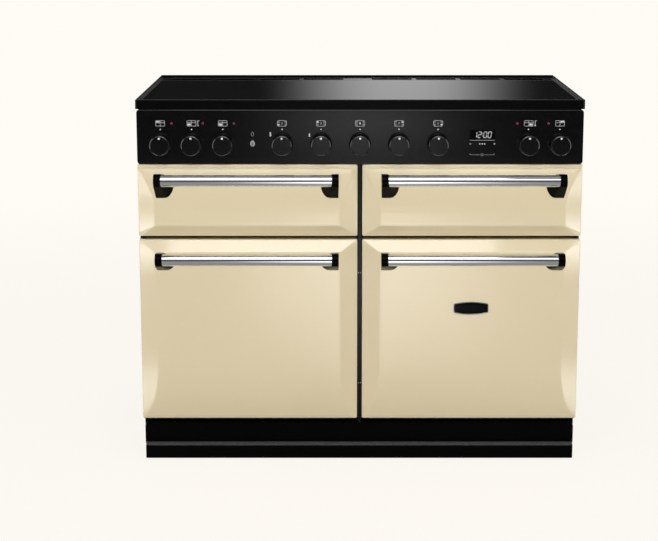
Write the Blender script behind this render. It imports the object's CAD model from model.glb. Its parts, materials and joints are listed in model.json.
"""Looks of the induction range cooker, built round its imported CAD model, in metres."""
import json
import math

import bmesh
import bpy
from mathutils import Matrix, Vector


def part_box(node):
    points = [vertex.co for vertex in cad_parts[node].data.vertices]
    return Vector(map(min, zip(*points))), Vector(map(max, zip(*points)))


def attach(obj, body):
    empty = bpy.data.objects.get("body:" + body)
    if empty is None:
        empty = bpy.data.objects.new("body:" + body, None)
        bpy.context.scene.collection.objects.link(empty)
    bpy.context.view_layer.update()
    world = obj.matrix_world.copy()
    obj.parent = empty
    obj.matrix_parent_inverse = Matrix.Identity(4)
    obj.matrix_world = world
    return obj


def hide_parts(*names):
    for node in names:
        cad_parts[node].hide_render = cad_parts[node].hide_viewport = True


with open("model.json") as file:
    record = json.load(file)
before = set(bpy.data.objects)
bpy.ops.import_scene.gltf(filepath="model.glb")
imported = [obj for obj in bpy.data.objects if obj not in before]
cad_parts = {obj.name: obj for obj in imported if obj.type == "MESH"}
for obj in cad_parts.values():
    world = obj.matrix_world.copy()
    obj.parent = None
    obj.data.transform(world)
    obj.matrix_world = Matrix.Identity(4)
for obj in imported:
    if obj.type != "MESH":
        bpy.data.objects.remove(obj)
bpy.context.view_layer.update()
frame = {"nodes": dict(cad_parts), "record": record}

MM = 0.001

# Places taken from the CAD model

FRONT_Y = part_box("hob_frame")[0].y

KNOBS = [
    "grill_knob", "left_heat_knob", "left_mode_knob", "hob_knob_1", "hob_knob_2",
    "hob_knob_3", "hob_knob_4", "hob_knob_5", "right_heat_knob", "slow_oven_knob",
]
DOORS = ["left_oven", "right_oven", "grill", "slow_oven"]


def box_centre(node):
    low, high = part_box(node)
    return (low + high) / 2


KNOB_Z = box_centre("hob_knob_3").z
KNOB_X = {name: box_centre(name).x for name in KNOBS}


# Making meshes

def add_mesh(name, verts, faces, material, body, smooth=True):
    """A new piece from points and faces, riding on a body."""
    mesh = bpy.data.meshes.new(name)
    mesh.from_pydata([tuple(v) for v in verts], [], faces)
    mesh.validate()
    mesh.polygons.foreach_set("use_smooth", [smooth] * len(mesh.polygons))
    obj = bpy.data.objects.new(name, mesh)
    bpy.context.scene.collection.objects.link(obj)
    obj.data.materials.append(material)
    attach(obj, body)
    return obj


class Marks:
    """Flat shapes printed on a plane that faces the front, gathered into one mesh."""

    def __init__(self, y, thickness):
        self.y = y
        self.thickness = thickness
        self.verts = []
        self.faces = []

    def polygon(self, points):
        """A filled convex outline, anticlockwise as seen from the front."""
        base = len(self.verts)
        count = len(points)
        for depth in (self.y - self.thickness, self.y):
            self.verts += [(x, depth, z) for x, z in points]
        self.faces.append([base + i for i in range(count)])
        for i in range(count):
            j = (i + 1) % count
            self.faces.append([base + j, base + i, base + count + i, base + count + j])

    def rect(self, x, z, w, h, slant=0.0):
        lean = slant * h / 2
        self.polygon([
            (x - w / 2 - lean, z - h / 2), (x + w / 2 - lean, z - h / 2),
            (x + w / 2 + lean, z + h / 2), (x - w / 2 + lean, z + h / 2),
        ])

    def disc(self, x, z, d, count=20):
        self.polygon([
            (x + d / 2 * math.cos(2 * math.pi * i / count), z + d / 2 * math.sin(2 * math.pi * i / count))
            for i in range(count)
        ])

    def loop(self, outer, inner):
        """A band between two outlines that have as many points as each other."""
        count = len(outer)
        for i in range(count):
            j = (i + 1) % count
            self.polygon([outer[i], outer[j], inner[j], inner[i]])

    def ring(self, x, z, d, line, count=24):
        circle = [(math.cos(2 * math.pi * i / count), math.sin(2 * math.pi * i / count)) for i in range(count)]
        self.loop([(x + d / 2 * c, z + d / 2 * s) for c, s in circle],
                  [(x + (d / 2 - line) * c, z + (d / 2 - line) * s) for c, s in circle])

    def frame(self, x, z, w, h, r, line):
        self.loop(round_rect(x, z, w, h, r), round_rect(x, z, w - 2 * line, h - 2 * line, max(r - line, 0.1 * MM)))

    def build(self, name, material, body):
        return add_mesh(name, self.verts, self.faces, material, body, smooth=False)


def round_rect(x, z, w, h, r, steps=4):
    """Points of a rectangle with round corners about (x, z), anticlockwise."""
    points = []
    for cx, cz, start in (
        (x + w / 2 - r, z + h / 2 - r, 0), (x - w / 2 + r, z + h / 2 - r, 90),
        (x - w / 2 + r, z - h / 2 + r, 180), (x + w / 2 - r, z - h / 2 + r, 270),
    ):
        for i in range(steps + 1):
            a = math.radians(start + 90 * i / steps)
            points.append((cx + r * math.cos(a), cz + r * math.sin(a)))
    return points


def lathe(name, profile, centre, axis, material, body, count=48):
    """A turned piece: profile is (radius, height) from its foot, height along axis from centre."""
    turn = Vector((0, 0, 1)).rotation_difference(Vector(axis)).to_matrix()
    verts, faces = [], []
    for r, h in profile:
        for i in range(count):
            a = 2 * math.pi * i / count
            verts.append(Vector(centre) + turn @ Vector((r * math.cos(a), r * math.sin(a), h)))
    for k in range(len(profile) - 1):
        for i in range(count):
            j = (i + 1) % count
            faces.append([k * count + i, k * count + j, (k + 1) * count + j, (k + 1) * count + i])
    faces.append([(len(profile) - 1) * count + i for i in range(count)])
    faces.append([i for i in reversed(range(count))])
    return add_mesh(name, verts, faces, material, body)


def soften(node, width, angle=32, segments=2):
    """Rounds the hard edges of a CAD node as it is shown, without touching its mesh."""
    obj = frame["nodes"][node]
    obj.data.polygons.foreach_set("use_smooth", [True] * len(obj.data.polygons))
    weld = obj.modifiers.new("weld", "WELD")
    weld.merge_threshold = 0.01 * MM
    flat = obj.modifiers.new("flat", "DECIMATE")
    flat.decimate_type = "DISSOLVE"
    flat.angle_limit = math.radians(0.3)
    bevel = obj.modifiers.new("bevel", "BEVEL")
    bevel.width = width
    bevel.segments = segments
    bevel.limit_method = "ANGLE"
    bevel.angle_limit = math.radians(angle)
    bevel.use_clamp_overlap = True
    normals = obj.modifiers.new("normals", "WEIGHTED_NORMAL")
    normals.weight = 80


# Materials

class Shader:
    """A node material with one Principled shader, worked out in the object's own coordinates."""

    def __init__(self, name):
        self.material = bpy.data.materials.new(name)
        self.material.use_nodes = True
        self.tree = self.material.node_tree
        self.bsdf = self.tree.nodes["Principled BSDF"]
        self.coordinates = self.tree.nodes.new("ShaderNodeTexCoord").outputs["Object"]

    def node(self, kind, **inputs):
        made = self.tree.nodes.new(kind)
        for key, value in inputs.items():
            made.inputs[key.replace("_", " ")].default_value = value
        return made

    def link(self, source, target):
        self.tree.links.new(source, target)

    def stretched(self, stretch):
        """The object's coordinates, scaled along each axis."""
        mapping = self.node("ShaderNodeMapping")
        mapping.inputs["Scale"].default_value = stretch
        self.link(self.coordinates, mapping.inputs["Vector"])
        return mapping.outputs["Vector"]

    def noise(self, scale, detail=3.0, stretch=(1, 1, 1)):
        noise = self.node("ShaderNodeTexNoise", Scale=scale, Detail=detail)
        self.link(self.stretched(stretch), noise.inputs["Vector"])
        return noise.outputs["Fac"]

    def cells(self, scale, feature="F1"):
        cells = self.node("ShaderNodeTexVoronoi", Scale=scale)
        cells.feature = feature
        self.link(self.coordinates, cells.inputs["Vector"])
        return cells

    def remap(self, source, low, high, start=0.3, end=0.7):
        remap = self.node("ShaderNodeMapRange")
        remap.inputs["From Min"].default_value = start
        remap.inputs["From Max"].default_value = end
        remap.inputs["To Min"].default_value = low
        remap.inputs["To Max"].default_value = high
        self.link(source, remap.inputs["Value"])
        return remap.outputs["Result"]

    def mix_colour(self, factor, first, second):
        mix = self.node("ShaderNodeMix")
        mix.data_type = "RGBA"
        for socket, colour in (("A", first), ("B", second)):
            target = next(s for s in mix.inputs if s.name == socket and s.type == "RGBA")
            if isinstance(colour, bpy.types.NodeSocket):
                self.link(colour, target)
            else:
                target.default_value = (*colour, 1)
        self.link(factor, mix.inputs[0])
        return next(s for s in mix.outputs if s.type == "RGBA")

    def product(self, first, second):
        both = self.node("ShaderNodeMath")
        both.operation = "MULTIPLY"
        self.link(first, both.inputs[0])
        self.link(second, both.inputs[1])
        return both.outputs[0]

    def bump(self, height, strength, distance):
        bump = self.node("ShaderNodeBump", Strength=strength, Distance=distance)
        self.link(height, bump.inputs["Height"])
        self.link(bump.outputs["Normal"], self.bsdf.inputs["Normal"])

    def set(self, **values):
        for key, value in values.items():
            self.bsdf.inputs[key.replace("_", " ")].default_value = value


def shade(colour, factor):
    return tuple(min(1.0, c * factor) for c in colour)


def surface(name, colour, spread=0.06, patch=8.0, rough=(0.3, 0.4), grain=60.0, detail=3.0,
            stretch=(1, 1, 1), bump=0.05, depth=0.3 * MM, **fixed):
    """A material with slight changes of colour, roughness and relief over the surface."""
    s = Shader(name)
    patches = s.noise(patch, detail, stretch)
    s.link(s.mix_colour(s.remap(patches, 0, 1, 0.1, 0.9), shade(colour, 1 - spread), shade(colour, 1 + spread)),
           s.bsdf.inputs["Base Color"])
    fine = s.noise(grain, detail, stretch)
    s.link(s.remap(fine, *rough, 0.1, 0.9), s.bsdf.inputs["Roughness"])
    s.bump(fine, bump, depth)
    s.set(**fixed)
    return s.material


def cream_enamel():
    """Vitreous enamel on cast iron, nearly even under a clear gloss."""
    return surface("cream_enamel", (0.69, 0.592, 0.388), spread=0.02, patch=3.0, rough=(0.286, 0.294),
                   grain=22.0, detail=1.0, bump=0.0, Coat_Weight=1.0, Coat_Roughness=0.06, Coat_IOR=1.6)


def black_enamel():
    return surface("black_enamel", (0.0015, 0.0015, 0.0016), spread=0.15, patch=6.0, rough=(0.14, 0.18),
                   grain=60.0, detail=1.0, bump=0.004, depth=0.1 * MM, Coat_Weight=0.3,
                   Coat_Roughness=0.08, Specular_IOR_Level=0.4)


SATIN_BLACK = (0.0014, 0.0014, 0.0013)
RUBBED_GREY = (0.1, 0.1, 0.1)


def black_satin(name, rough=(0.3, 0.38), level=0.04):
    """Dull black coat."""
    return surface(name, SATIN_BLACK, spread=0.15, patch=8.0, rough=rough,
                   grain=90.0, detail=1.0, bump=0.01, depth=0.1 * MM, Specular_IOR_Level=level)


def plinth_black(ledge_z):
    """The same coat, rubbed grey along the top edge."""
    s = Shader("plinth_black")
    height = s.node("ShaderNodeSeparateXYZ")
    s.link(s.coordinates, height.inputs["Vector"])
    edge = s.remap(height.outputs["Z"], 0, 1, ledge_z - 1.6 * MM, ledge_z - 0.6 * MM)
    wear = s.remap(s.noise(120.0, 2.0), 0.6, 1.0)
    s.link(s.mix_colour(s.product(edge, wear), SATIN_BLACK, RUBBED_GREY), s.bsdf.inputs["Base Color"])
    s.set(Roughness=0.36, Specular_IOR_Level=0.04)
    return s.material


def black_plastic():
    return surface("black_plastic", (0.002, 0.002, 0.0021), spread=0.2, patch=20.0, rough=(0.13, 0.18),
                   grain=200.0, detail=1.0, bump=0.0, Coat_Weight=0.15, Coat_Roughness=0.08)


def chrome_bar():
    """Polished tube with faint drawing lines along its length."""
    return surface("chrome_bar", (0.8, 0.81, 0.82), spread=0.02, patch=10.0, rough=(0.06, 0.1),
                   grain=40.0, stretch=(0.6, 12, 12), bump=0.0, Metallic=1.0)


def black_glass():
    return surface("black_glass", (0.0035, 0.0035, 0.004), spread=0.1, patch=3.0, rough=(0.04, 0.07),
                   grain=4.0, bump=0.0, Coat_Weight=0.3, Coat_Roughness=0.03)


def speckled_enamel():
    """Dark oven enamel with pale flecks."""
    s = Shader("speckled_enamel")
    flecks = s.cells(420.0).outputs["Distance"]
    spots = s.remap(flecks, 1, 0, 0.10, 0.16)
    scatter = s.remap(s.noise(70.0, 2.0), 0, 1, 0.52, 0.58)
    s.link(s.mix_colour(s.product(spots, scatter), (0.018, 0.02, 0.028), (0.32, 0.33, 0.36)),
           s.bsdf.inputs["Base Color"])
    s.link(s.remap(s.noise(30.0), 0.22, 0.34), s.bsdf.inputs["Roughness"])
    s.bump(s.noise(60.0), 0.06, 0.3 * MM)
    s.set(Coat_Weight=0.4, Coat_Roughness=0.12)
    return s.material


def galvanised_sheet():
    """Zinc coating with its crystal spangle."""
    s = Shader("galvanised_sheet")
    cells = s.cells(55.0)
    tint = s.node("ShaderNodeSeparateColor")
    s.link(cells.outputs["Color"], tint.inputs["Color"])
    s.link(s.mix_colour(tint.outputs["Red"], (0.40, 0.42, 0.43), (0.56, 0.58, 0.6)), s.bsdf.inputs["Base Color"])
    s.link(s.remap(tint.outputs["Green"], 0.38, 0.55, 0, 1), s.bsdf.inputs["Roughness"])
    s.bump(cells.outputs["Distance"], 0.03, 0.1 * MM)
    s.set(Metallic=0.85)
    return s.material


def brushed_steel(name, colour, stretch):
    return surface(name, colour, spread=0.05, patch=30.0, rough=(0.28, 0.42), grain=90.0,
                   stretch=stretch, bump=0.06, depth=0.05 * MM, Metallic=1.0)


def woven_seal():
    """Glass-fibre rope: small crossing strands."""
    s = Shader("woven_seal")
    strands = s.cells(260.0).outputs["Distance"]
    s.link(s.mix_colour(s.remap(strands, 0, 1, 0.1, 0.6), (0.16, 0.155, 0.15), (0.05, 0.05, 0.05)),
           s.bsdf.inputs["Base Color"])
    s.bump(strands, 0.5, 0.6 * MM)
    s.set(Roughness=0.85)
    return s.material


def wound_coil():
    """Copper winding: fine turns round each coil's centre, varied along the wire."""
    s = Shader("wound_coil")
    strands = s.noise(30.0, 4.0, (1, 1, 6))
    s.link(s.mix_colour(s.remap(strands, 0, 1), (0.32, 0.11, 0.05), (0.62, 0.28, 0.14)), s.bsdf.inputs["Base Color"])
    s.bump(strands, 0.4, 0.5 * MM)
    s.set(Roughness=0.4, Metallic=0.6)
    return s.material


def clear_lens(name, colour, glow):
    """Moulded lens whose facets catch the light."""
    s = Shader(name)
    facets = s.cells(900.0).outputs["Distance"]
    s.link(s.mix_colour(s.remap(facets, 0, 1, 0, 0.7), shade(colour, 0.8), shade(colour, 1.3)),
           s.bsdf.inputs["Base Color"])
    s.bump(facets, 0.2, 0.1 * MM)
    s.set(Roughness=0.12, Emission_Color=(*colour, 1), Emission_Strength=glow)
    return s.material


def printed(name, colour, glow=0.0):
    """Screen print: nearly even, a little worn."""
    s = Shader(name)
    s.link(s.mix_colour(s.remap(s.noise(500.0), 0, 1), shade(colour, 0.85), colour), s.bsdf.inputs["Base Color"])
    s.set(Roughness=0.5, Emission_Color=(*colour, 1), Emission_Strength=glow)
    return s.material


MATERIALS = {
    "enamel_cream": cream_enamel(),
    "enamel_black": black_enamel(),
    "plastic_black": black_plastic(),
    "handle_chrome": chrome_bar(),
    "hob_glass": black_glass(),
    "oven_enamel": speckled_enamel(),
    "galvanised": galvanised_sheet(),
    "bright_steel": brushed_steel("bright_steel", (0.6, 0.61, 0.62), (1, 1, 8)),
    "motor_steel": brushed_steel("motor_steel", (0.4, 0.41, 0.42), (1, 8, 1)),
    "fan_alu": brushed_steel("fan_aluminium", (0.72, 0.73, 0.74), (1, 6, 1)),
    "wire_chrome": surface("wire_plating", (0.72, 0.73, 0.74), spread=0.04, rough=(0.12, 0.2), Metallic=1.0),
    "element_steel": surface("element_sheath", (0.14, 0.12, 0.11), spread=0.35, patch=25.0, rough=(0.4, 0.6),
                             grain=150.0, bump=0.15, Metallic=0.9),
    "seal_fibre": woven_seal(),
    "foot_rubber": surface("foot_rubber", (0.03, 0.03, 0.03), spread=0.2, rough=(0.6, 0.75), grain=250.0,
                           bump=0.25),
    "switch_body": surface("switch_body", (0.75, 0.74, 0.7), spread=0.03, rough=(0.4, 0.5), grain=200.0),
    "module_board": surface("module_board", (0.03, 0.16, 0.06), spread=0.4, patch=60.0, rough=(0.4, 0.55),
                            grain=300.0, bump=0.3),
    "coil_copper": wound_coil(),
    "box_grey": surface("box_grey", (0.05, 0.05, 0.055), spread=0.1, rough=(0.45, 0.55), grain=350.0, bump=0.15),
    "clock_window": surface("smoked_window", (0.001, 0.001, 0.0012), spread=0.1, rough=(0.08, 0.12), grain=50.0,
                            bump=0.0, Specular_IOR_Level=0.2),
    "neon_red": clear_lens("neon_red", (0.11, 0.012, 0.022), 0.1),
    "lamp_glass": clear_lens("lamp_glass", (0.75, 0.73, 0.66), 0.0),
}
WHITE_PRINT = printed("white_print", (0.62, 0.62, 0.62))
GREY_PRINT = printed("grey_print", (0.36, 0.36, 0.36))
DIM_PRINT = printed("dim_print", (0.14, 0.14, 0.14))
DOT_PAINT = printed("dot_paint", (0.85, 0.85, 0.84))
PLATE_BLACK = black_satin("plate_black", (0.2, 0.26), 0.08)
PLATE_STEEL = surface("plate_steel", (0.34, 0.34, 0.35), spread=0.05, rough=(0.14, 0.2), bump=0.0, Metallic=1.0)
DIGIT_LIGHT = printed("digit_light", (0.6, 0.64, 0.64), 0.3)

OWN_MATERIALS = {
    "plinth": plinth_black(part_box("plinth")[1].z),
    "drawer_front": black_satin("drawer_black"),
    "hob_frame": black_satin("rim_black", (0.2, 0.26), 0.12),
    "front_frame": black_satin("frame_black", (0.2, 0.26), 0.25),
}
BRACKET_BLACK = black_satin("bracket_black", (0.18, 0.24), 0.03)
for door in DOORS:
    OWN_MATERIALS[f"{door}_brackets"] = BRACKET_BLACK
for row in frame["record"]["subparts"]:
    cad = frame["nodes"][row["node"]]
    cad.data.materials.clear()
    cad.data.materials.append(OWN_MATERIALS.get(row["node"], MATERIALS[row["material_slot"]]))


# Oven doors

CORNER_R = 4 * MM
LIP_ROUND = 1.2 * MM
SIDE_BEVEL = 43 * MM
FLAT_BEVEL = 29.5 * MM
FOOT_CURVE = 140 * MM
HEAD_CURVE = 111 * MM
BEAD_D = 9 * MM
BEAD_H = 0.9 * MM
SHELL_D = 30 * MM
LINER_EDGE = 3 * MM
RIM_WIDTH = 6 * MM
FOOT_POWER = 0.75
EDGE_BLEND = 2.0 * MM
MITRE_POWER = 10
EAR_X = (32.2 * MM, 53.8 * MM)
NOTCH_W = 3.6 * MM
NOTCH_H = 8.0 * MM


def soft_min(a, b, k):
    """The smaller of two heights, with the crease between them rounded."""
    h = max(k - abs(a - b), 0.0) / k
    return min(a, b) - h * h * k / 4


def spaced(start, end, step):
    count = max(1, round((end - start) / step))
    return [start + (end - start) * i / count for i in range(count)]


def rim_steps():
    return [LIP_ROUND * (1 - math.cos(math.radians(a))) for a in (0, 22.5, 45, 67.5)]


class DoorForm:
    """Front of a door casting: how far it stands out at each place."""

    def __init__(self, width, height, bulge, upper):
        self.width = width
        self.height = height
        self.bulge = bulge
        self.upper = upper

    def profile(self, z):
        """Depth along the height, in the middle of the door."""
        h = self.height
        if self.upper:
            t = min(1.0, max(0.0, (h - BEAD_D - z) / HEAD_CURVE))
            curve = self.bulge * (1 - (1 - t) ** 2)
            return min(curve, soft_min(self.bulge * z / FLAT_BEVEL, self.bulge, EDGE_BLEND))
        t = min(1.0, max(0.0, z / FOOT_CURVE))
        curve = self.bulge * (1 - (1 - t) ** 2) ** FOOT_POWER
        return min(curve, soft_min(self.bulge * (h - z) / FLAT_BEVEL, self.bulge, EDGE_BLEND))

    def plan(self, x):
        side = min(x, self.width - x)
        return soft_min(self.bulge * side / SIDE_BEVEL, self.bulge, EDGE_BLEND)

    def bead(self, z):
        if not self.upper or z < self.height - BEAD_D:
            return 0.0
        across = 2 * (z - self.height + BEAD_D / 2) / BEAD_D
        return BEAD_H * (1 - across ** 2) ** 2

    def depth(self, x, z):
        short = ((self.bulge - self.plan(x)) ** MITRE_POWER
                 + (self.bulge - self.profile(z)) ** MITRE_POWER) ** (1 / MITRE_POWER)
        out = max(0.0, self.bulge - short)
        return max(out, min(self.bead(z), self.plan(x)))

    def notches(self):
        """Where the hinge ears stand in a drop-down door's bottom edge, along its width."""
        if not self.upper:
            return []
        near = [(x - NOTCH_W / 2, x + NOTCH_W / 2) for x in EAR_X]
        return near + [(self.width - b, self.width - a) for a, b in reversed(near)]

    def columns(self):
        side = rim_steps() + spaced(LIP_ROUND, SIDE_BEVEL + 3 * MM, 1.8 * MM)
        middle = spaced(SIDE_BEVEL + 3 * MM, self.width - SIDE_BEVEL - 3 * MM, 16 * MM)
        plain = side + middle + [self.width - x for x in reversed(side)]
        ends = [x for notch in self.notches() for x in notch]
        return sorted([x for x in plain if all(abs(x - end) > 0.4 * MM for end in ends)] + ends)

    def rows(self):
        h = self.height
        if self.upper:
            low = rim_steps() + spaced(LIP_ROUND, FLAT_BEVEL + 3 * MM, 1.6 * MM)
            head = spaced(FLAT_BEVEL + 3 * MM, h - BEAD_D, 3 * MM)
            bead = [h - BEAD_D / 2 - BEAD_D / 2 * math.cos(math.radians(a)) for a in range(0, 181, 15)]
            return low + head + bead
        foot = rim_steps() + spaced(LIP_ROUND, FOOT_CURVE, 3 * MM)
        middle = spaced(FOOT_CURVE, h - FLAT_BEVEL - 3 * MM, 16 * MM)
        top = spaced(h - FLAT_BEVEL - 3 * MM, h - LIP_ROUND, 1.6 * MM)
        return foot + middle + top + [h - z for z in reversed(rim_steps())]


def rounded_corner(x, z, w, h):
    """Moves a point of the door's grid so that the outline gets round corners."""
    cx = min(max(x, CORNER_R), w - CORNER_R)
    cz = min(max(z, CORNER_R), h - CORNER_R)
    dx, dz = x - cx, z - cz
    if dx == 0 or dz == 0:
        return x, z
    scale = max(abs(dx), abs(dz)) / math.hypot(dx, dz)
    return cx + dx * scale, cz + dz * scale


def edge_distance(x, z, w, h):
    return min(x, w - x, z, h - z)


def add_pocket(verts, faces, xs, ys, zs):
    """The walls of a notch that is open below and at the back."""
    base = len(verts)
    verts += [(x, y, z) for x in xs for y in ys for z in zs]
    faces += [[base + i for i in quad] for quad in ((0, 1, 3, 2), (4, 6, 7, 5), (0, 4, 5, 1), (1, 5, 7, 3))]


def door_piece(door):
    """A casting with its curved front, sides and back rim, in place of the CAD node."""
    node = f"{door}_door"
    upper = door in ("grill", "slow_oven")
    casting_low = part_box(node)[0]
    liner_low, liner_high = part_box(f"{door}_liner")
    x0, z0 = liner_low.x - LINER_EDGE, liner_low.z - LINER_EDGE
    w, h = liner_high.x + LINER_EDGE - x0, liner_high.z + LINER_EDGE - z0
    form = DoorForm(w, h, FRONT_Y - casting_low.y, upper)
    columns, rows = form.columns(), form.rows()
    notches = form.notches()
    verts = []
    for z in rows:
        for x in columns:
            near = edge_distance(x, z, w, h)
            px, pz = rounded_corner(x, z, w, h)
            back = 0.0
            if near < LIP_ROUND:
                back = LIP_ROUND - math.sqrt(max(0.0, LIP_ROUND ** 2 - (LIP_ROUND - near) ** 2))
            verts.append((x0 + px, FRONT_Y - form.depth(px, pz) + back, z0 + pz))
    nx, nz = len(columns), len(rows)
    faces = [
        [k * nx + i, k * nx + i + 1, (k + 1) * nx + i + 1, (k + 1) * nx + i]
        for k in range(nz - 1) for i in range(nx - 1)
    ]
    border = (
        [i for i in range(nx)] + [k * nx + nx - 1 for k in range(1, nz)]
        + [(nz - 1) * nx + i for i in range(nx - 2, -1, -1)] + [k * nx for k in range(nz - 2, 0, -1)]
    )
    centre = Vector((x0 + w / 2, 0, z0 + h / 2))
    rings = [border]
    for y, inset in ((SHELL_D - 1 * MM, 0), (SHELL_D, 1 * MM), (SHELL_D, RIM_WIDTH), (SHELL_D - 8 * MM, RIM_WIDTH)):
        ring = []
        for v in border:
            x, _, z = verts[v]
            ring.append(len(verts))
            verts.append((
                x - math.copysign(min(inset, abs(x - centre.x)), x - centre.x) if edge_x(x, x0, w) else x,
                FRONT_Y + y,
                z - math.copysign(min(inset, abs(z - centre.z)), z - centre.z) if edge_z(z, z0, h) else z,
            ))
        rings.append(ring)
    for first, second in zip(rings, rings[1:]):
        for i in range(len(border)):
            j = (i + 1) % len(border)
            if i < nx - 1 and any(a < (columns[i] + columns[i + 1]) / 2 < b for a, b in notches):
                continue
            faces.append([first[j], first[i], second[i], second[j]])
    for start, end in notches:
        add_pocket(verts, faces, (x0 + start, x0 + end), (FRONT_Y + LIP_ROUND, FRONT_Y + SHELL_D),
                   (z0, z0 + NOTCH_H))
    piece = add_mesh(f"{door}_casting", verts, faces, MATERIALS["enamel_cream"], node)
    crease_edges(piece, 40)
    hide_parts(node)


def edge_x(x, x0, w):
    return x < x0 + CORNER_R or x > x0 + w - CORNER_R


def edge_z(z, z0, h):
    return z < z0 + CORNER_R or z > z0 + h - CORNER_R


def crease_edges(piece, angle):
    """Keeps edges steeper than the angle sharp in smooth shading."""
    made = bmesh.new()
    made.from_mesh(piece.data)
    for edge in made.edges:
        if len(edge.link_faces) == 2 and edge.calc_face_angle(0) > math.radians(angle):
            edge.smooth = False
    made.to_mesh(piece.data)
    made.free()


for door in DOORS:
    door_piece(door)

# Rounded edges on the shown CAD nodes

SOFT_EDGES = {
    "hob_frame": 2.0, "control_panel": 0.8, "plinth": 2.0, "drawer_front": 0.4, "hob_vent_strip": 0.5,
    "hob_glass": 0.5, "side_panels": 0.5, "panel_returns": 0.3, "clock_display": 0.3,
    "base_tray": 0.5, "drawer_box": 0.5, "terminal_box": 1.0, "drawer_runners": 0.4, "front_frame": 0.5,
}
for node, width in SOFT_EDGES.items():
    soften(node, width * MM)
for door in DOORS:
    soften(f"{door}_brackets", 1.6 * MM, angle=28, segments=3)
    soften(f"{door}_liner", 0.6 * MM)
    soften(f"{door}_bar", 0.3 * MM)
    for piece in (f"{door}_bar", f"{door}_brackets"):
        frame["nodes"][piece].visible_shadow = False
        frame["nodes"][piece].visible_diffuse = False
for knob in KNOBS:
    soften(knob, 0.6 * MM, angle=25)

# Marks on the control panel

MARK_Y = FRONT_Y
PRINT_T = 0.15 * MM
LINE = 0.8 * MM
DOT_D = 3.4 * MM
DOT_Z = KNOB_Z + 36.3 * MM
SIGN_Z = KNOB_Z + 51.0 * MM
SIGN_W = 22.5 * MM
SIGN_H = 14 * MM


def oven_sign(marks, x, filled, bracket=False):
    """A cooker with four doors, one of them filled."""
    marks.frame(x, SIGN_Z, SIGN_W, SIGN_H, 2 * MM, LINE)
    marks.rect(x, SIGN_Z, LINE, SIGN_H - 2 * LINE)
    marks.rect(x - SIGN_W / 4, SIGN_Z + 1.5 * MM, SIGN_W / 2 - LINE, LINE)
    marks.rect(x + SIGN_W / 4, SIGN_Z + 1.5 * MM, SIGN_W / 2 - LINE, LINE)
    side, level = filled
    if level > 0:
        marks.rect(x + side * SIGN_W / 4, SIGN_Z + 4.2 * MM, SIGN_W / 2 - 3.2 * MM, 3.2 * MM)
    else:
        marks.rect(x + side * SIGN_W / 4, SIGN_Z - 2.8 * MM, SIGN_W / 2 - 3.2 * MM, 4.8 * MM)
    if bracket:
        post = x + SIGN_W / 2 + 4.5 * MM
        marks.rect(post, SIGN_Z, 1.6 * LINE, SIGN_H)
        marks.rect(post + 2.6 * MM, SIGN_Z + SIGN_H / 2 - LINE / 2, 4 * MM, LINE)
        marks.rect(post, SIGN_Z - SIGN_H / 2 + 1.5 * MM, 3.6 * MM, 3 * MM)


ZONES = [(-8.0, -3.2), (-8.0, 3.2), (0.0, 0.0), (8.0, 3.2), (8.0, -3.2)]


def hob_sign(marks, faint, x, chosen):
    """The five cooking zones seen from above, one of them filled."""
    faint.frame(x, SIGN_Z, SIGN_W + 1 * MM, SIGN_H + 1 * MM, 4 * MM, 1.2 * MM)
    for index, (dx, dz) in enumerate(ZONES):
        if index == chosen:
            marks.disc(x + dx * MM, SIGN_Z + dz * MM, 4.6 * MM)
        else:
            faint.ring(x + dx * MM, SIGN_Z + dz * MM, 4.4 * MM, 0.8 * MM)


def drop(marks, x, z, w, h, line=None):
    """A drop shape: filled, or an outline of the given line width."""
    def outline(scale_w, scale_h):
        points = []
        for i in range(24):
            a = 2 * math.pi * i / 24
            narrow = 1 - 0.75 * max(0.0, math.sin(a)) ** 1.5
            points.append((x + scale_w / 2 * math.cos(a) * narrow, z + scale_h / 2 * math.sin(a)))
        return points
    if line:
        marks.loop(outline(w, h), outline(w - 2 * line, h - 2 * line))
    else:
        marks.polygon(outline(w, h))


def panel_marks():
    white = Marks(MARK_Y, PRINT_T)
    faint = Marks(MARK_Y, PRINT_T)
    for knob in KNOBS:
        white.disc(KNOB_X[knob], DOT_Z, DOT_D)
    oven_sign(white, KNOB_X["grill_knob"], (-1, 1))
    oven_sign(white, KNOB_X["left_heat_knob"], (-1, -1), bracket=True)
    oven_sign(white, KNOB_X["left_mode_knob"], (-1, -1))
    oven_sign(white, KNOB_X["right_heat_knob"], (1, -1), bracket=True)
    oven_sign(white, KNOB_X["slow_oven_knob"], (1, 1))
    for index in range(5):
        hob_sign(white, faint, KNOB_X[f"hob_knob_{index + 1}"], index)
    white.rect(KNOB_X["hob_knob_1"] - 28.5 * MM, KNOB_Z + 24 * MM, 3.4 * MM, 10.5 * MM)
    white.rect(KNOB_X["hob_knob_2"] - 28.5 * MM, KNOB_Z + 22 * MM, 3.2 * MM, 8 * MM)
    symbol_x = (KNOB_X["left_mode_knob"] + KNOB_X["hob_knob_1"]) / 2
    core = Marks(MARK_Y - PRINT_T, PRINT_T)
    drop(faint, symbol_x, KNOB_Z + 25 * MM, 6.7 * MM, 12 * MM, 0.7 * MM)
    drop(faint, symbol_x, KNOB_Z + 2 * MM, 12 * MM, 16 * MM)
    drop(core, symbol_x, KNOB_Z + 0.5 * MM, 5.5 * MM, 9 * MM)
    white.build("panel_print", WHITE_PRINT, "casing")
    faint.build("panel_print_faint", GREY_PRINT, "casing")
    core.build("panel_print_core", DIM_PRINT, "casing")


panel_marks()

# Pointer dots on the knobs

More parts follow.
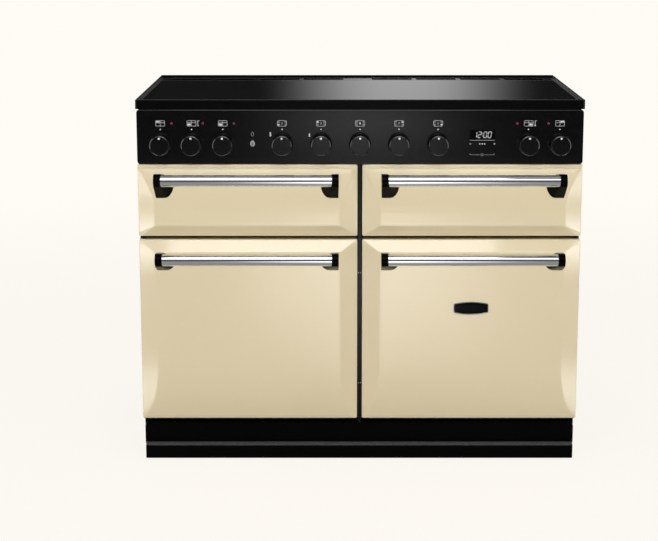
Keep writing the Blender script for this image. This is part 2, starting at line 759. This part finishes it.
POINTER_D = 5.0 * MM
for knob in KNOBS:
    face_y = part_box(knob)[0].y
    lathe(f"{knob}_pointer",
          [(POINTER_D / 2, -0.4 * MM), (POINTER_D / 2, 0.05 * MM), (POINTER_D / 2 - 0.5 * MM, 0.3 * MM)],
          (KNOB_X[knob], face_y, KNOB_Z + 18 * MM), (0, -1, 0), DOT_PAINT, knob, 24)

# Clock

CLOCK_LOW, CLOCK_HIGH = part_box("clock_display")
WINDOW_W = 61 * MM
WINDOW_H = 24 * MM
CLOCK_X = (CLOCK_LOW.x + CLOCK_HIGH.x) / 2
WINDOW_Z = KNOB_Z + 23 * MM
SEGMENTS = {
    "0": "abcdef", "1": "bc", "2": "abged", "3": "abgcd", "4": "fgbc",
    "5": "afgcd", "6": "afgedc", "7": "abc", "8": "abcdefg", "9": "abcdfg",
}
SLANT = 0.14


def digit(marks, character, x, z, w, h, line):
    """One seven-segment digit that leans a little to the right."""
    half = h / 2
    places = {
        "a": (0, half, w, line), "g": (0, 0, w, line), "d": (0, -half, w, line),
        "f": (-w / 2, half / 2, line, half), "b": (w / 2, half / 2, line, half),
        "e": (-w / 2, -half / 2, line, half), "c": (w / 2, -half / 2, line, half),
    }
    for segment in SEGMENTS[character]:
        dx, dz, sw, sh = places[segment]
        if sw > sh:
            marks.rect(x + dx + SLANT * dz, z + dz, sw - line * 1.3, sh, SLANT)
        else:
            marks.rect(x + dx + SLANT * dz, z + dz, sw, sh - line * 1.3, SLANT)


def clock_marks():
    lit = Marks(CLOCK_LOW.y, PRINT_T)
    for character, place in zip("1200", (-17.5, -6.5, 7.0, 18.0)):
        digit(lit, character, CLOCK_X + place * MM, WINDOW_Z, 7.2 * MM, 14.5 * MM, 1.2 * MM)
    for dz in (-3, 3):
        lit.rect(CLOCK_X + (0.3 + SLANT * dz) * MM, WINDOW_Z + dz * MM, 1.3 * MM, 1.3 * MM)
    lit.build("clock_digits", DIGIT_LIGHT, "casing")
    white = Marks(MARK_Y, PRINT_T)
    under = WINDOW_Z - WINDOW_H / 2 - 1.6 * MM
    white.rect(CLOCK_X, under, WINDOW_W, 0.6 * MM)
    keys_z = KNOB_Z + 0.5 * MM
    white.rect(CLOCK_X - 29 * MM, keys_z, 4.6 * MM, 1.1 * MM)
    white.rect(CLOCK_X + 30 * MM, keys_z, 4.6 * MM, 1.1 * MM)
    white.rect(CLOCK_X + 30 * MM, keys_z, 1.1 * MM, 4.6 * MM)
    for place in (-6, 0, 6):
        white.disc(CLOCK_X + place * MM, keys_z, 3.2 * MM)
    rail_z = KNOB_Z - 26.5 * MM
    rail = Marks(MARK_Y, PRINT_T)
    for side in (-1, 1):
        rail.rect(CLOCK_X + side * 18 * MM, rail_z, 24 * MM, 0.6 * MM)
        rail.rect(CLOCK_X + side * 29.7 * MM, rail_z + 2 * MM, 0.6 * MM, 4 * MM)
    rail.ring(CLOCK_X, rail_z, 6.4 * MM, 0.8 * MM)
    white.build("clock_print", WHITE_PRINT, "casing")
    rail.build("clock_rail", GREY_PRINT, "casing")


clock_marks()

# Blank plate on the lower right door

PLATE_W = 86.7 * MM
PLATE_H = 33 * MM
PLATE_SAG = 5 * MM
PLATE_R = 4 * MM
PLATE_Z = 402 * MM
PLATE_T = 2.4 * MM
PLATE_RIM = 3.2 * MM


def barrel(w, h, corner_steps=5, edge_steps=22):
    """A wide plate outline whose top and bottom edges bow outward, anticlockwise."""
    def rise(x):
        return h / 2 - PLATE_SAG * (2 * x / w) ** 2
    reach = w / 2 - PLATE_R
    corner_z = rise(reach) - PLATE_R
    points = []
    for sx, sz, start in ((1, 1, 0), (-1, 1, 90), (-1, -1, 180), (1, -1, 270)):
        for i in range(corner_steps):
            a = math.radians(start + 90 * i / (corner_steps - 1))
            points.append((sx * reach + PLATE_R * math.cos(a), sz * corner_z + PLATE_R * math.sin(a)))
        if start in (0, 180):
            for i in range(1, edge_steps + 1):
                x = sx * reach * (1 - 2 * i / (edge_steps + 1))
                points.append((x, sz * rise(x)))
    return points


def layered(name, centre, layers, material, body):
    """A plate from stacked outlines: each layer is (width, height, how far out)."""
    verts, faces = [], []
    for w, h, out in layers:
        outline = barrel(w, h)
        count = len(outline)
        verts += [(centre.x + x, centre.y - out, centre.z + z) for x, z in outline]
    for k in range(len(layers) - 1):
        for i in range(count):
            j = (i + 1) % count
            faces.append([k * count + i, k * count + j, (k + 1) * count + j, (k + 1) * count + i])
    faces.append([(len(layers) - 1) * count + i for i in range(count)])
    return add_mesh(name, verts, faces, material, body)


def blank_plate():
    door_low, door_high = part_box("right_oven_door")
    centre = Vector(((door_low.x + door_high.x) / 2, door_low.y, PLATE_Z))
    layered("plate_rim", centre, [
        (PLATE_W, PLATE_H, -0.3 * MM), (PLATE_W, PLATE_H, PLATE_T - 0.6 * MM),
        (PLATE_W - 0.8 * MM, PLATE_H - 0.8 * MM, PLATE_T),
        (PLATE_W - PLATE_RIM, PLATE_H - PLATE_RIM, PLATE_T),
        (PLATE_W - PLATE_RIM - 0.6 * MM, PLATE_H - PLATE_RIM - 0.6 * MM, PLATE_T - 0.7 * MM),
    ], PLATE_STEEL, "right_oven_door")
    field = PLATE_RIM + 0.4 * MM
    layered("plate_field", centre, [
        (PLATE_W - field, PLATE_H - field, 0.2 * MM), (PLATE_W - field, PLATE_H - field, PLATE_T - 0.5 * MM),
        (PLATE_W - field - 2 * MM, PLATE_H - field - 2 * MM, PLATE_T - 0.3 * MM),
    ], PLATE_BLACK, "right_oven_door")


blank_plate()

# Studs on the centre post, seen in the gap between the lower doors

POST_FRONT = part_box("front_frame")[0].y
STUD_PROFILE = [(1.3 * MM, -0.5 * MM), (1.3 * MM, 0.8 * MM), (0.8 * MM, 1.3 * MM)]
STUD_X = 2.6 * MM
STUD_Z = (202 * MM, 486 * MM)
for stud_z in STUD_Z:
    for side in (-1, 1):
        lathe(f"post_stud_{round(stud_z / MM)}_{side + 1}", STUD_PROFILE, (side * STUD_X, POST_FRONT, stud_z),
              (0, -1, 0), MATERIALS["bright_steel"], "casing", 16)

# Screws in the back panel

SCREW_PROFILE = [(5 * MM, -0.5 * MM), (5 * MM, 0.6 * MM), (4 * MM, 1.0 * MM), (3.6 * MM, 1.1 * MM)]
SCREW_HEAD_R = 3.4 * MM
SCREW_HEAD_H = 3.0 * MM


def add_screw(verts, faces, at, out):
    """A flanged hexagon-headed screw standing out along a direction."""
    turn = Vector((0, 0, 1)).rotation_difference(Vector(out)).to_matrix()
    for profile, count in ((SCREW_PROFILE, 20), (
            [(SCREW_HEAD_R, 0.8 * MM), (SCREW_HEAD_R, SCREW_HEAD_H - 0.4 * MM),
             (SCREW_HEAD_R - 0.5 * MM, SCREW_HEAD_H)], 6)):
        base = len(verts)
        for r, h in profile:
            for i in range(count):
                a = 2 * math.pi * i / count
                verts.append(Vector(at) + turn @ Vector((r * math.cos(a), r * math.sin(a), h)))
        for k in range(len(profile) - 1):
            for i in range(count):
                j = (i + 1) % count
                faces.append([base + k * count + i, base + k * count + j,
                              base + (k + 1) * count + j, base + (k + 1) * count + i])
        faces.append([base + (len(profile) - 1) * count + i for i in range(count)])


def panel_screws():
    low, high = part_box("back_panel")
    inset = 9 * MM
    verts, faces = [], []
    for i in range(6):
        x = low.x + inset + (high.x - low.x - 2 * inset) * i / 5
        for z in (low.z + inset, high.z - inset):
            add_screw(verts, faces, (x, high.y, z), (0, 1, 0))
    for i in range(1, 5):
        z = low.z + (high.z - low.z) * i / 5
        for x in (low.x + inset, high.x - inset):
            add_screw(verts, faces, (x, high.y, z), (0, 1, 0))
    add_mesh("back_screws", verts, faces, MATERIALS["bright_steel"], "casing", smooth=False)


panel_screws()

# Floor and backdrop

BACKGROUND = (1.0, 0.965, 0.913)
FLOOR_SIZE = 26.0
NEAR_FLOOR = 1.4
FAR_FLOOR = 4.0
FLOOR_SHARE = 0.10


def seen_directly(tree):
    """1 for camera, glossy and transmission rays, which see the background as it is."""
    path = tree.nodes.new("ShaderNodeLightPath")
    value = path.outputs["Is Camera Ray"]
    for kind in ("Is Glossy Ray", "Is Transmission Ray"):
        larger = tree.nodes.new("ShaderNodeMath")
        larger.operation = "MAXIMUM"
        tree.links.new(value, larger.inputs[0])
        tree.links.new(path.outputs[kind], larger.inputs[1])
        value = larger.outputs[0]
    return value


def floor_material():
    """Pale floor that keeps shadows near the object and fades into the background."""
    material = bpy.data.materials.new("floor_pale")
    material.use_nodes = True
    tree = material.node_tree
    nodes, links = tree.nodes, tree.links
    nodes.clear()
    output = nodes.new("ShaderNodeOutputMaterial")
    diffuse = nodes.new("ShaderNodeBsdfDiffuse")
    diffuse.inputs["Color"].default_value = (0.84, 0.81, 0.77, 1)
    plain = nodes.new("ShaderNodeEmission")
    plain.inputs["Color"].default_value = (*BACKGROUND, 1)
    coordinates = nodes.new("ShaderNodeTexCoord")
    length = nodes.new("ShaderNodeVectorMath")
    length.operation = "LENGTH"
    links.new(coordinates.outputs["Object"], length.inputs[0])
    fade = nodes.new("ShaderNodeMapRange")
    fade.interpolation_type = "SMOOTHSTEP"
    for socket, value in (("From Min", NEAR_FLOOR), ("From Max", FAR_FLOOR),
                          ("To Min", 1 - FLOOR_SHARE), ("To Max", 1.0)):
        fade.inputs[socket].default_value = value
    links.new(length.outputs["Value"], fade.inputs["Value"])
    share = nodes.new("ShaderNodeMath")
    share.operation = "MULTIPLY"
    links.new(fade.outputs["Result"], share.inputs[0])
    links.new(seen_directly(tree), share.inputs[1])
    mix = nodes.new("ShaderNodeMixShader")
    links.new(share.outputs[0], mix.inputs["Fac"])
    links.new(diffuse.outputs["BSDF"], mix.inputs[1])
    links.new(plain.outputs["Emission"], mix.inputs[2])
    links.new(mix.outputs["Shader"], output.inputs["Surface"])
    return material


def stage_plane(name, size, material):
    made = bpy.data.meshes.new(name)
    x, y = size[0] / 2, size[1] / 2
    made.from_pydata([(-x, -y, 0), (x, -y, 0), (x, y, 0), (-x, y, 0)], [], [(0, 1, 2, 3)])
    obj = bpy.data.objects.new(name, made)
    bpy.context.scene.collection.objects.link(obj)
    obj.data.materials.append(material)
    return obj


stage_plane("floor", (FLOOR_SIZE, FLOOR_SIZE), floor_material())

WORLD_FILL = 0.42
world = bpy.data.worlds.new("studio")
bpy.context.scene.world = world
world.use_nodes = True
world_tree = world.node_tree
world_tree.nodes.clear()
world_output = world_tree.nodes.new("ShaderNodeOutputWorld")
world_mix = world_tree.nodes.new("ShaderNodeMixShader")
fill = world_tree.nodes.new("ShaderNodeBackground")
fill.inputs["Color"].default_value = (1, 1, 1, 1)
fill.inputs["Strength"].default_value = WORLD_FILL
backdrop = world_tree.nodes.new("ShaderNodeBackground")
backdrop.inputs["Color"].default_value = (*BACKGROUND, 1)
world_tree.links.new(seen_directly(world_tree), world_mix.inputs["Fac"])
world_tree.links.new(fill.outputs["Background"], world_mix.inputs[1])
world_tree.links.new(backdrop.outputs["Background"], world_mix.inputs[2])
world_tree.links.new(world_mix.outputs["Shader"], world_output.inputs["Surface"])


# Reflection cards, seen only in glossy surfaces

def card_material(name, dark, bright, centre, spread):
    """A dark card with one soft bright patch, centred in the card's own plane."""
    material = bpy.data.materials.new(name)
    material.use_nodes = True
    tree = material.node_tree
    nodes, links = tree.nodes, tree.links
    nodes.clear()
    output = nodes.new("ShaderNodeOutputMaterial")
    emission = nodes.new("ShaderNodeEmission")
    coordinates = nodes.new("ShaderNodeTexCoord")
    mapping = nodes.new("ShaderNodeMapping")
    mapping.vector_type = "TEXTURE"
    mapping.inputs["Location"].default_value = (*centre, 0)
    mapping.inputs["Scale"].default_value = (*spread, 1)
    length = nodes.new("ShaderNodeVectorMath")
    length.operation = "LENGTH"
    glow = nodes.new("ShaderNodeMapRange")
    glow.interpolation_type = "SMOOTHERSTEP"
    for socket, value in (("From Min", 0.0), ("From Max", 1.0), ("To Min", bright), ("To Max", dark)):
        glow.inputs[socket].default_value = value
    links.new(coordinates.outputs["Object"], mapping.inputs["Vector"])
    links.new(mapping.outputs["Vector"], length.inputs[0])
    links.new(length.outputs["Value"], glow.inputs["Value"])
    links.new(glow.outputs["Result"], emission.inputs["Strength"])
    links.new(emission.outputs["Emission"], output.inputs["Surface"])
    return material


def reflection_card(name, size, place, rotation, material):
    card = stage_plane(name, size, material)
    card.location = place
    card.rotation_euler = rotation
    card.visible_camera = False
    card.visible_diffuse = False
    card.visible_shadow = False
    card.visible_transmission = False
    card.visible_volume_scatter = False
    return card


FACE_FRONT = (math.radians(90), 0, 0)
FACE_SIDE = (0, math.radians(90), 0)
ROOM_X = 5.5
ROOM_FRONT = -9.4
ROOM_BACK = 3.0
ROOM_TOP = 5.0
ROOM_MIDDLE = (ROOM_FRONT + ROOM_BACK) / 2
ROOM_DEPTH = ROOM_BACK - ROOM_FRONT
FLOOR_SPLIT = -4.6
TOE_Y = FRONT_Y + 0.02
HOB_CARD_H = 3.4

reflection_card("hob_card", (2 * ROOM_X, HOB_CARD_H), (0, ROOM_BACK, HOB_CARD_H / 2), FACE_FRONT,
                card_material("hob_card", 0.012, 0.56, (0.228, -0.46), (0.681, 3.0)))
reflection_card("near_card", (2 * ROOM_X, TOE_Y - FLOOR_SPLIT), (0, (TOE_Y + FLOOR_SPLIT) / 2, 0.004), (0, 0, 0),
                card_material("near_card", 0.3, 2.5, (0.08, -0.2), (0.75, 2.3)))
reflection_card("far_card", (2 * ROOM_X, FLOOR_SPLIT - ROOM_FRONT), (0, (FLOOR_SPLIT + ROOM_FRONT) / 2, 0.006),
                (0, 0, 0), card_material("far_card", 0.02, 1.5, (0.113, 0.0), (0.96, 2.2)))
reflection_card("front_card", (2 * ROOM_X, ROOM_TOP), (0, ROOM_FRONT, ROOM_TOP / 2), FACE_FRONT,
                card_material("front_card", 0.12, 0.12, (0, 0), (1, 1)))
for side in (-1, 1):
    reflection_card(f"side_card_{side + 1}", (ROOM_TOP, ROOM_DEPTH), (side * ROOM_X, ROOM_MIDDLE, ROOM_TOP / 2),
                    FACE_SIDE, card_material(f"side_card_{side + 1}", 0.12, 0.12, (0, 0), (1, 1)))
for side in (-1, 1):
    reflection_card(f"foot_card_{side + 1}", (1.0, 0.9), (side * 1.0, -0.6, 0.01), (0, 0, 0),
                    card_material(f"foot_card_{side + 1}", 0.3, 2.8, (0, 0), (0.5, 0.45)))
    reflection_card(f"bevel_card_{side + 1}", (1.7, 1.7), (side * 2.85, -1.75, 0.01), (0, 0, 0),
                    card_material(f"bevel_card_{side + 1}", 0.2, 6.0, (0, 0), (0.85, 0.85)))
reflection_card("top_card", (2 * ROOM_X, ROOM_DEPTH), (0, ROOM_MIDDLE, ROOM_TOP), (0, 0, 0),
                card_material("top_card", 0.3, 0.3, (0, 0), (1, 1)))


# Lamps

def area_light(name, place, target, size, radiance):
    lamp = bpy.data.lights.new(name, "AREA")
    lamp.shape = "RECTANGLE"
    lamp.size, lamp.size_y = size
    lamp.energy = radiance * math.pi * size[0] * size[1]
    obj = bpy.data.objects.new(name, lamp)
    bpy.context.scene.collection.objects.link(obj)
    obj.location = place
    obj.rotation_euler = (Vector(target) - Vector(place)).to_track_quat("-Z", "Y").to_euler()
    obj.visible_camera = False
    return obj


area_light("top_box", (-0.08, -1.75, 2.75), (-0.05, -0.3, 0.6), (1.35, 1.1), 3.4)
fill_box = area_light("fill_box", (0.0, -4.6, 0.9), (0, -0.3, 0.45), (5.0, 1.6), 0.4)
fill_box.visible_glossy = False
area_light("wide_box", (0.0, -3.0, 2.8), (0, -0.2, 0.5), (4.0, 1.2), 1.7)
area_light("left_box", (-2.9, -2.0, 1.2), (-0.3, -0.2, 0.5), (1.5, 2.2), 2.6)
area_light("right_box", (2.9, -2.0, 1.2), (0.3, -0.2, 0.5), (1.5, 2.2), 2.6)
area_light("back_box", (0.0, 2.6, 2.4), (0, 0.3, 0.6), (3.0, 1.4), 1.2)

# Camera: where the photograph's stood, tilted down so that a small shift frames it as well

EYE = (-0.0528, -4.148, 1.374)
TILT = math.radians(10.5)
LENS = 87.57
SHIFT = (-0.0144, -0.0963)
camera_data = bpy.data.cameras.new("camera")
camera_data.lens = LENS
camera_data.sensor_width = 36.0
camera_data.shift_x, camera_data.shift_y = SHIFT
camera = bpy.data.objects.new("camera", camera_data)
bpy.context.scene.collection.objects.link(camera)
camera.location = EYE
camera.rotation_euler = (math.radians(90) - TILT, 0, 0)
bpy.context.scene.camera = camera
bpy.context.scene.view_settings.view_transform = "Standard"

bpy.context.view_layer.update()
